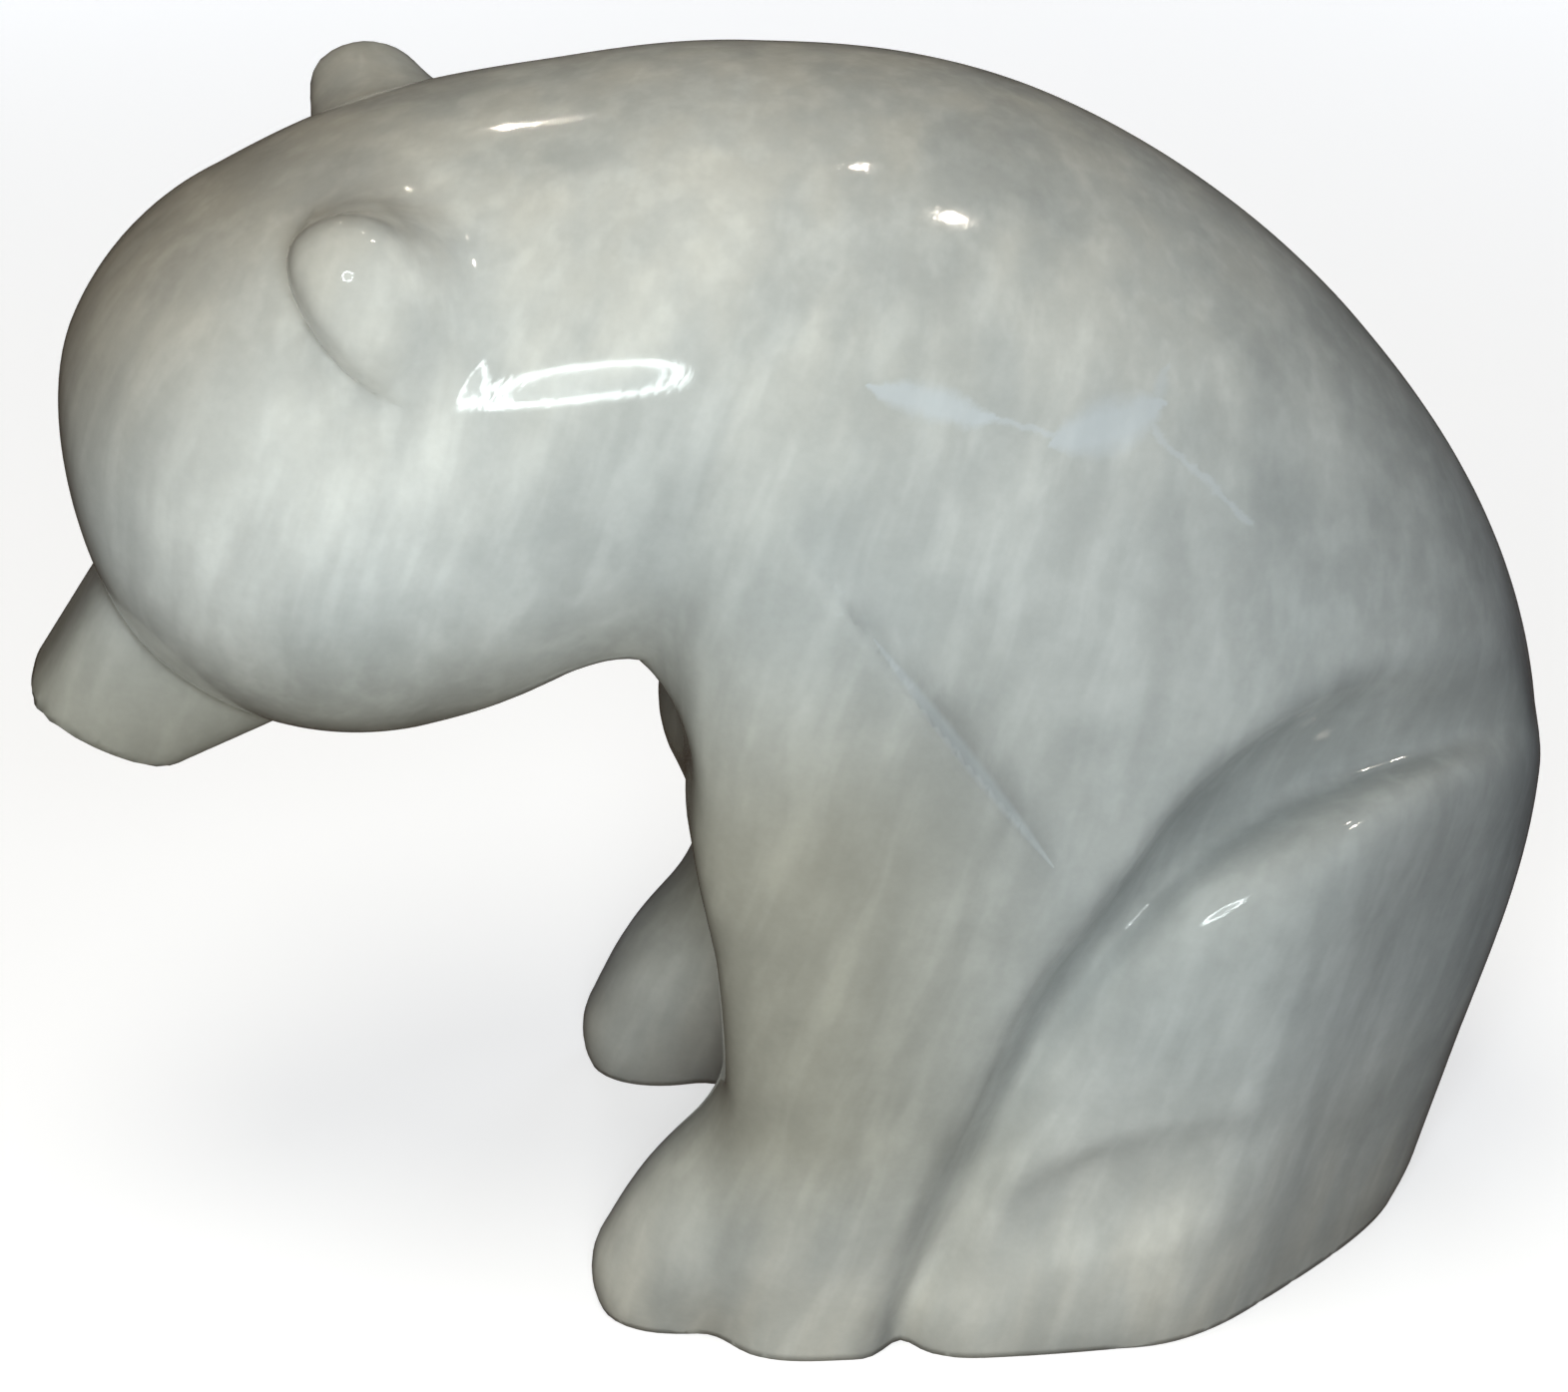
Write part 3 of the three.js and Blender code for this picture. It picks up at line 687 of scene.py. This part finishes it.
# %% Clouds, mottling and streaks
def noise(place, scale, detail=4.0, rough=0.55, colour=False):
    node = nodes.new("ShaderNodeTexNoise")
    wire(place, node.inputs["Vector"])
    node.inputs["Scale"].default_value = scale
    node.inputs["Detail"].default_value = detail
    node.inputs["Roughness"].default_value = rough
    return node.outputs["Color" if colour else "Fac"]


def drawn_out(place, lean, width, length):
    node = nodes.new("ShaderNodeMapping")
    node.vector_type = "TEXTURE"
    wire(place, node.inputs["Vector"])
    node.inputs["Rotation"].default_value = (0, math.radians(lean), 0)
    node.inputs["Scale"].default_value = (width, width, length)
    return node.outputs[0]


DRIFT = 0.012
place = nodes.new("ShaderNodeTexCoord").outputs["Object"]
drift = vector("SCALE", noise(place, scale=14, detail=3, colour=True), DRIFT)
warped = vector("ADD", place, drift)
clouds = noise(warped, scale=17, detail=4, rough=0.55)
mottle = noise(warped, scale=85, detail=4, rough=0.55)
grain = noise(place, scale=650, detail=3, rough=0.6)
thin = drawn_out(warped, lean=17, width=0.0042, length=0.026)
streaks = noise(thin, scale=1, detail=2.5, rough=0.5)
broad = drawn_out(warped, lean=15, width=0.012, length=0.045)
broad_streaks = noise(broad, scale=1, detail=2, rough=0.5)
print("the patterns take", len(nodes), "nodes")

# %% [markdown]
# Three more helpers deal with colour. The stone's greys are written as a picture program shows them,
# from 0 to 255, and turned into the plain light that Blender works in. A ramp turns a number into a
# soft slope between two marks. A tint mixes two colours by a share: the Mix node has sockets for
# every kind of value, and these numbers are the ones for colours.

# %% Colours and slopes
MIX_A = 6
MIX_B = 7
MIX_RESULT = 2


def srgb(r, g, b):
    def linear(v):
        v /= 255
        return v / 12.92 if v <= 0.04045 else ((v + 0.055) / 1.055) ** 2.4
    return linear(r), linear(g), linear(b)


def ramp(value, start, end, low=0.0, high=1.0):
    node = nodes.new("ShaderNodeMapRange")
    node.interpolation_type = "SMOOTHSTEP"
    for socket, given in zip(node.inputs, (value, start, end, low, high)):
        wire(given, socket)
    return node.outputs[0]


def tint(share, a, b):
    node = nodes.new("ShaderNodeMix")
    node.data_type = "RGBA"
    wire(share, node.inputs[0])
    for socket, given in ((MIX_A, a), (MIX_B, b)):
        given = given if isinstance(given, bpy.types.NodeSocket) else (*given, 1.0)
        wire(given, node.inputs[socket])
    return node.outputs[MIX_RESULT]


print("middle grey is", round(srgb(128, 128, 128)[0], 3), "in plain light")

# %% [markdown]
# The clouds run from a cool pale grey to a cool deeper one. Over them warm light is painted on the top
# and on the foot, as the warm lamp overhead lights them, and the broad streaks let that painted warmth
# through. One flat grey would be quicker, but then the stone would lack the warm cast of that light.

# %% Cool clouds and painted warm light on the top and foot
COOL_PALE = srgb(186, 191, 189)
COOL_DEEP = srgb(163, 169, 168)
WARM_LIGHT_PAINT = srgb(186, 184, 173)
parted = nodes.new("ShaderNodeSeparateXYZ")
wire(place, parted.inputs[0])
along_share = number("DIVIDE", parted.outputs[0], HEIGHT)
height_share = number("DIVIDE", parted.outputs[2], HEIGHT)
stone = tint(ramp(clouds, start=0.32, end=0.68), COOL_DEEP, COOL_PALE)
# Painted warm light: the top and the foot are tinted warm, as the warm overhead lamp lights them.
painted_warm_light_top = ramp(height_share, start=0.62, end=1.0, low=0, high=0.7)
painted_warm_light_foot = ramp(height_share, start=0.0, end=0.3, low=0.8, high=0)
let_through = ramp(broad_streaks, start=0.3, end=0.7, low=0.5, high=1)
painted_warmth = number("MULTIPLY", number("ADD", painted_warm_light_top, painted_warm_light_foot), let_through)
stone = tint(painted_warmth, stone, WARM_LIGHT_PAINT)
print("the palest stone is", [round(v, 3) for v in COOL_PALE], "in plain light, red to blue")

# %% [markdown]
# Some broad changes of tone are painted light and shade that belong to places on the block: brown
# painted shade between the forelegs, under the head; a dark brown painted reflection of the dim room
# on the crown; painted light on the head, which stood nearest the lamps; and painted shade towards
# the rump. They could be painted by hand on the mesh. Told as soft slopes along the length and the
# height they need no map, and the bear can be cut from its block again at any size. The slopes of the
# crown and the head lean, as those do.

# %% Painted light and shade that belong to a place
BREAST_PAINTED_SHADE = srgb(150, 150, 140)
CROWN_PAINTED_REFLECTION = srgb(140, 133, 118)
HEAD_PAINTED_LIGHT = 0.15
RUMP_PAINTED_SHADE = 0.18
CROWN_LEAN = 0.9
HEAD_LEAN = 0.6
# Painted shade: the breast between the forelegs is browner where the head shades it.
above_ground = ramp(height_share, start=0.08, end=0.22)
below_chest = ramp(height_share, start=0.45, end=0.7, low=1, high=0)
leg_height = number("MULTIPLY", above_ground, below_chest)
breast_painted_shade = number("MULTIPLY", leg_height, ramp(along_share, start=-0.02, end=0.22, low=1, high=0))
stone = tint(breast_painted_shade, stone, BREAST_PAINTED_SHADE)
# Painted reflection: a dark brown rim on the crown, where the polish mirrors the dim room.
crown = number("SUBTRACT", height_share, number("MULTIPLY", along_share, CROWN_LEAN))
stone = tint(ramp(crown, start=1.16, end=1.34, low=0, high=0.65), stone, CROWN_PAINTED_REFLECTION)
# Painted light: the head is paler because it stood nearest the lamps.
forward = number("MULTIPLY_ADD", along_share, -HEAD_LEAN, height_share)
in_front = ramp(along_share, start=-0.15, end=0.1, low=1, high=0)
head_painted_light = number("MULTIPLY", ramp(forward, start=0.72, end=0.86), in_front)
# Painted shade: the upper rump and hip are darker, turned away from the lamps.
hip_height = ramp(height_share, start=0.25, end=0.6)
hip_painted_shade = number("MULTIPLY", ramp(along_share, start=0.25, end=0.5), hip_height)
rump_painted_shade_gain = number("MULTIPLY_ADD", hip_painted_shade, -RUMP_PAINTED_SHADE, 1.0)
head_painted_light_gain = number("MULTIPLY_ADD", head_painted_light, HEAD_PAINTED_LIGHT, 1.0)
stone = vector("SCALE", stone, number("MULTIPLY", rump_painted_shade_gain, head_painted_light_gain))
print("four tones bring the tree to", len(nodes), "nodes")

# %% [markdown]
# One large darker cloud lies in the middle of the flank. It is a soft oval whose place is known, so
# it isn't left to the noise. Last come the fine patterns. Each makes the stone a little darker in its
# hollows and a little paler on its heights, and each is weak, because they add up.

# %% Flank cloud and fine patterns
FLANK_AT = (22, 60)
FLANK_REACH = (21, 19)
FLANK_TONE = 0.87
flank_offset = vector("SUBTRACT", warped, (FLANK_AT[0] * H, 0, FLANK_AT[1] * H))
flank_scale = (1 / (FLANK_REACH[0] * H), 0, 1 / (FLANK_REACH[1] * H))
flank_offset = vector("MULTIPLY", flank_offset, flank_scale)
flank_distance = vector("LENGTH", flank_offset, result=1)
stone = vector("SCALE", stone, ramp(flank_distance, start=0.25, end=1.2, low=FLANK_TONE, high=1))
for pattern, start, end, darker, paler in (
    (mottle, 0.3, 0.7, 0.06, 0.04),
    (streaks, 0.42, 0.72, 0.02, 0.1),
    (broad_streaks, 0.3, 0.7, 0.09, 0.04),
    (grain, 0.3, 0.7, 0.02, 0.02),
):
    stone = vector("SCALE", stone, ramp(pattern, start, end, low=1 - darker, high=1 + paler))
print("the flank cloud is", round(2 * MM * FLANK_REACH[0] * H), "mm long")

# %% [markdown]
# A block of marble that once cracked heals with a chalky mark. Such a mark could be drawn on a
# picture. Here it is built of straight stretches. For every point of the stone, a stretch finds the
# nearest place on its own line and says how near that is: full strength within the core, nothing
# beyond the edge. A little noise frays it, and it can swell in the middle and close at both ends.

# %% A stretch of a mark
MARK_CORE = 0.3
MARK_EDGE = 1.5
PINCH = 0.85
FRAY = 0.004
fraying = noise(place, scale=160, detail=5, rough=0.7, colour=True)
frayed = vector("ADD", place, vector("SCALE", fraying, FRAY))
frayed = vector("ADD", frayed, (-FRAY / 2, -FRAY / 2, -FRAY / 2))


def stretch_mark(start, end, half_width, strength, swell=True, edge=frayed):
    start = Vector((start[0] * H, 0, start[1] * H))
    end = Vector((end[0] * H, 0, end[1] * H))
    line = end - start
    flat = vector("MULTIPLY", edge, (1, 0, 1))
    offset = vector("SUBTRACT", flat, start)
    t = number("DIVIDE", vector("DOT_PRODUCT", offset, line, result=1), line.length_squared, clamp=True)
    foot = vector("SCALE", (*line,), t)
    away = vector("LENGTH", vector("SUBTRACT", offset, foot), result=1)
    width = half_width * H
    if swell:
        middle = number("MULTIPLY", number("SUBTRACT", t, 0.5), 2.0)
        width = number("MULTIPLY_ADD", number("MULTIPLY", middle, middle), -PINCH * width, width)
    return ramp(number("DIVIDE", away, width), MARK_CORE, MARK_EDGE, strength, 0)


print("a mark is frayed by up to", MM * FRAY / 2, "mm each way")

# %% [markdown]
# Two chalky, bluish marks and a hair-fine crack lie across the flank. Each row gives a stretch: where
# it starts and ends, half its width, and its strength. As in a real block they go right through, so
# they show on both sides. The last stretch is no crack: it is a painted highlight along the crest of
# the shoulder ridge, where the sharp edge catches the light, and its edge isn't frayed.

# %% Marks of the healed crack and the ridge's painted highlight
MARK_AND_HIGHLIGHT_TONE = srgb(190, 200, 206)
marks_and_highlight = [
    stretch_mark((3.1, 82.9), (12.5, 80.0), 1.0, 0.5),
    stretch_mark((10.0, 80.7), (17.8, 78.3), 0.28, 0.35, swell=False),
    stretch_mark((16.4, 77.9), (25.0, 79.3), 1.75, 0.5),
    stretch_mark((24.0, 79.0), (25.6, 82.0), 0.55, 0.25),
    stretch_mark((23.6, 78.4), (31.5, 70.3), 0.24, 0.3, swell=False),
    # Painted highlight along the crest of the shoulder ridge, not a mark in the stone.
    stretch_mark((3.5, 65.0), (17.0, 46.0), 0.42, 0.3, edge=place),
]
marking_and_highlight = marks_and_highlight[0]
for mark in marks_and_highlight[1:]:
    marking_and_highlight = number("MAXIMUM", marking_and_highlight, mark)
stone = tint(marking_and_highlight, stone, MARK_AND_HIGHLIGHT_TONE)
print(len(marks_and_highlight), "stretches are marked")

# %% [markdown]
# The floor of the channel is darkened with painted shade. The channel is deep, but it is wide and
# open, so shadow alone doesn't show it, and the stone itself is darkened there. The band is told like
# the marks: short stretches, one after another, each with its own half width, and the same push that
# bends the clouds wavers its edge.

# %% Painted shade in the channel
CHANNEL_LINE = [(7.2, 3), (12.2, 19.3), (18, 34), (24.6, 42.8), (31.4, 49), (40, 52.3), (58, 52.6)]
CHANNEL_WIDTHS = [1.6, 2, 2.6, 3.7, 4.8, 5]
CHANNEL_PAINTED_SHADE = 0.2
painted_shade = None
for start, end, half_width in zip(CHANNEL_LINE, CHANNEL_LINE[1:], CHANNEL_WIDTHS):
    stretch = stretch_mark(start, end, half_width, 1.0, swell=False, edge=warped)
    painted_shade = stretch if painted_shade is None else number("MAXIMUM", painted_shade, stretch)
# Painted shade: the stone is darkened along the floor of the channel.
stone = vector("SCALE", stone, number("MULTIPLY_ADD", painted_shade, -CHANNEL_PAINTED_SHADE, 1.0))
print("the dull band has", len(CHANNEL_WIDTHS), "stretches")

# %% [markdown]
# Polished marble is clear for the first fraction of a millimetre, so light goes in, scatters and
# comes out next to where it went in. A little subsurface light gives that softness. The polish is
# high but not perfect: the roughness wavers, and very fine rubbing marks break up the highlights.
# They are far too fine for the mesh, so they are a weak bump. An engraved mesh would need millions
# of faces for the same look.

# %% Polish
RUBBING_SHARE = 0.35
shader = nodes.new("ShaderNodeBsdfPrincipled")
wire(stone, shader.inputs["Base Color"])
waver = noise(warped, scale=30)
wire(ramp(waver, start=0.3, end=0.7, low=0.05, high=0.09), shader.inputs["Roughness"])
shader.inputs["IOR"].default_value = 1.5
shader.inputs["Specular IOR Level"].default_value = 0.5
shader.inputs["Subsurface Weight"].default_value = 0.12
shader.inputs["Subsurface Radius"].default_value = (1.0, 0.9, 0.8)
shader.inputs["Subsurface Scale"].default_value = 0.003
rubbed = drawn_out(place, lean=35, width=0.0011, length=0.004)
rubbing = noise(rubbed, scale=1, detail=3, rough=0.6)
dimples = noise(place, scale=90, detail=3, rough=0.5)
bump = nodes.new("ShaderNodeBump")
bump.inputs["Strength"].default_value = 0.12
bump.inputs["Distance"].default_value = 0.0004
wire(number("MULTIPLY_ADD", rubbing, RUBBING_SHARE, dimples), bump.inputs["Height"])
wire(bump.outputs[0], shader.inputs["Normal"])
output = nodes.new("ShaderNodeOutputMaterial")
wire(shader.outputs[0], output.inputs["Surface"])
mesh.materials.append(marble)
print("the stone has", len(nodes), "nodes")

# %% [markdown]
# The bear stands on a sheet of pale paper that is wide enough to have no edge in the picture. Paper
# in a studio is lit by lamps of its own. Here it glows a little by itself instead, which leaves the
# stone's light alone, and it is kept out of the stone's reflections too, because the real bear stood
# in a dark room.

# %% Floor
FLOOR_HALF = 40.0
PAPER = 0.55
PAPER_GLOW = 0.62
ways = ((-1, -1), (1, -1), (1, 1), (-1, 1))
floor_corners = [(x * FLOOR_HALF, y * FLOOR_HALF, node_low.z) for x, y in ways]
floor_mesh = bpy.data.meshes.new("floor")
floor_mesh.from_pydata(floor_corners, [], [(0, 1, 2, 3)])
floor = bpy.data.objects.new("floor", floor_mesh)
bpy.context.scene.collection.objects.link(floor)
paper = bpy.data.materials.new("pale paper")
paper.use_nodes = True
paper_shader = paper.node_tree.nodes["Principled BSDF"]
paper_shader.inputs["Base Color"].default_value = (PAPER, PAPER, PAPER, 1)
paper_shader.inputs["Roughness"].default_value = 0.9
paper_shader.inputs["Emission Color"].default_value = (1, 1, 1, 1)
paper_shader.inputs["Emission Strength"].default_value = PAPER_GLOW
floor_mesh.materials.append(paper)
floor.visible_glossy = False
floor.visible_diffuse = False
print("the paper is", 2 * FLOOR_HALF, "m wide")

# %% [markdown]
# The camera looks from the left side and from well above, so the back shows as one long arch and the
# soles stay hidden. A lens could be tried out by eye. Here it follows from how many pixels make a
# metre at the middle of the bear, once the distance is chosen. A short distance like this one makes
# the near flank swell a little, as it does to somebody who bends over a table to look.

# %% Camera
CAMERA_AZIMUTH = -4
CAMERA_ELEVATION = 29
CAMERA_DISTANCE = 0.6
AIM_BEHIND_NOSE = 0.123
AIM_HEIGHT = 0.096
SENSOR_MM = 36
PHOTO_PIXELS = 1571
PIXELS_PER_METRE = 6000


def direction(azimuth, elevation):
    a, e = math.radians(azimuth), math.radians(elevation)
    return Vector((math.sin(a) * math.cos(e), -math.cos(a) * math.cos(e), math.sin(e)))


aim = Vector((node_low.x + AIM_BEHIND_NOSE, 0, AIM_HEIGHT))
back = direction(CAMERA_AZIMUTH, CAMERA_ELEVATION)
lens = bpy.data.cameras.new("camera")
lens.sensor_width = SENSOR_MM
lens.lens = SENSOR_MM * CAMERA_DISTANCE * PIXELS_PER_METRE / PHOTO_PIXELS
lens.clip_start = 0.01
lens.clip_end = 100
camera = bpy.data.objects.new("camera", lens)
camera.location = aim + back * CAMERA_DISTANCE
camera.rotation_mode = "QUATERNION"
camera.rotation_quaternion = (-back).to_track_quat("-Z", "Y")
bpy.context.scene.collection.objects.link(camera)
bpy.context.scene.camera = camera
print("lens in mm", round(lens.lens, 1))

# %% [markdown]
# Two lamps near the camera light the cheek and the flank, one from the right lifts the rump, and a
# large one overhead fills the back. Two more stand behind, so that the far side isn't left in the
# dark when somebody walks round. These six are soft and only light the stone. What a polished
# stone reflects is set apart from that: three small warm lamps make the sparks along the back, and
# they light nothing else. So the shading and the highlights can each be moved without the other.
#
# A row gives a lamp's name, where it stands round the bear and how high in degrees, how far it is
# and how wide in metres, its power in watts and its colour.

# %% Lamps
CENTRE = Vector((0, 0, 0.1))
COOL = (0.86, 0.98, 1.13)
WARM = (1.0, 0.90, 0.76)
SOFT_LAMPS = [
    ("front_low", -10, 6, 0.38, 0.16, 0.89, (1.01, 1.01, 0.94)),
    ("flash", -4, 29, 0.45, 0.1, 0.49, COOL),
    ("side", 60, 5, 1.2, 0.6, 2.3, COOL),
    ("overhead", -40, 76, 1.2, 0.6, 6.2, (1.01, 0.98, 0.88)),
    ("far_side", -165, 6, 1.2, 0.6, 3.6, COOL),
    ("far_rump", 145, 8, 1.2, 0.6, 3.2, COOL),
]
GLINTS = [
    ("glint_large", 61, 60, 1.8, 0.08, 4.5, WARM),
    ("glint_small", 91, 76, 1.8, 0.03, 0.8, WARM),
    ("glint_head", -160, 57, 1.8, 0.03, 1.0, WARM),
]


def lamp(name, azimuth, elevation, distance, size, power, colour, glint):
    way = direction(azimuth, elevation)
    data = bpy.data.lights.new(name, "AREA")
    data.shape = "DISK"
    data.size = size
    data.energy = power
    data.color = colour
    placed = bpy.data.objects.new(name, data)
    placed.location = CENTRE + way * distance
    placed.rotation_mode = "QUATERNION"
    placed.rotation_quaternion = (-way).to_track_quat("-Z", "Y")
    placed.visible_camera = False
    placed.visible_glossy = glint
    placed.visible_diffuse = not glint
    bpy.context.scene.collection.objects.link(placed)


for row in SOFT_LAMPS:
    lamp(*row, glint=False)
for row in GLINTS:
    lamp(*row, glint=True)
print(len(SOFT_LAMPS), "soft lamps and", len(GLINTS), "glints")

# %% [markdown]
# The bright loop on the neck is the mirror image of a ring-shaped lamp. A plain lamp would leave a
# filled spot there, so the ring is modelled: a faint disc with a bright rim, seen only in
# reflections.

# %% Ring lamp
RING_SIDES = 48
RING_RADII = (0.041, 0.053)
RING_DISTANCE = 0.51
RING_WHITE = (0.9, 1, 1)
ring_way = direction(-11.5, 20)


def glow(name, strength, colour):
    material = bpy.data.materials.new(name)
    material.use_nodes = True
    glow_shader = material.node_tree.nodes["Principled BSDF"]
    glow_shader.inputs["Base Color"].default_value = (0, 0, 0, 1)
    glow_shader.inputs["Emission Color"].default_value = (*colour, 1)
    glow_shader.inputs["Emission Strength"].default_value = strength
    return material


ring_corners = [(0.0, 0.0, 0.0)]
for radius in RING_RADII:
    for i in range(RING_SIDES):
        turn = 2 * math.pi * i / RING_SIDES
        ring_corners.append((radius * math.cos(turn), radius * math.sin(turn), 0))
ring_faces = [(0, 1 + i, 1 + (i + 1) % RING_SIDES) for i in range(RING_SIDES)]
for i in range(RING_SIDES):
    j = (i + 1) % RING_SIDES
    ring_faces.append((1 + i, 1 + RING_SIDES + i, 1 + RING_SIDES + j, 1 + j))
ring_mesh = bpy.data.meshes.new("ring_lamp")
ring_mesh.from_pydata(ring_corners, [], ring_faces)
ring_mesh.materials.append(glow("lamp disc", 2.5, RING_WHITE))
ring_mesh.materials.append(glow("lamp ring", 26.0, RING_WHITE))
ring_mesh.polygons.foreach_set("material_index", [0] * RING_SIDES + [1] * RING_SIDES)
ring = bpy.data.objects.new("ring_lamp", ring_mesh)
ring.location = CENTRE + ring_way * RING_DISTANCE
ring.rotation_mode = "QUATERNION"
ring.rotation_quaternion = ring_way.to_track_quat("-Z", "Y")
ring.visible_camera = False
ring.visible_diffuse = False
ring.visible_shadow = False
bpy.context.scene.collection.objects.link(ring)
print("the ring lamp is", 2 * MM * RING_RADII[1], "mm wide")

# %% [markdown]
# The rest of the room is a dim brown sky, a little lighter overhead, which darkens the stone towards
# its edges. A photographed room would do the same, but it would bring a picture into the file.

# %% Sky
SKY = [(0.0, (0.10, 0.065, 0.045)), (0.9, (0.24, 0.17, 0.13))]
SKY_STRENGTH = 0.32
world = bpy.data.worlds.new("studio")
world.use_nodes = True
bpy.context.scene.world = world
sky = world.node_tree
tilt = sky.nodes.new("ShaderNodeSeparateXYZ")
sky.links.new(sky.nodes.new("ShaderNodeTexCoord").outputs["Generated"], tilt.inputs[0])
gradient = sky.nodes.new("ShaderNodeValToRGB")
sky.links.new(tilt.outputs[2], gradient.inputs[0])
for stop, (position, colour) in zip(gradient.color_ramp.elements, SKY):
    stop.position = position
    stop.color = (*colour, 1)
background = sky.nodes["Background"]
sky.links.new(gradient.outputs[0], background.inputs[0])
background.inputs[1].default_value = SKY_STRENGTH
bpy.context.scene.view_settings.view_transform = "Standard"
print("the sky has a strength of", SKY_STRENGTH)
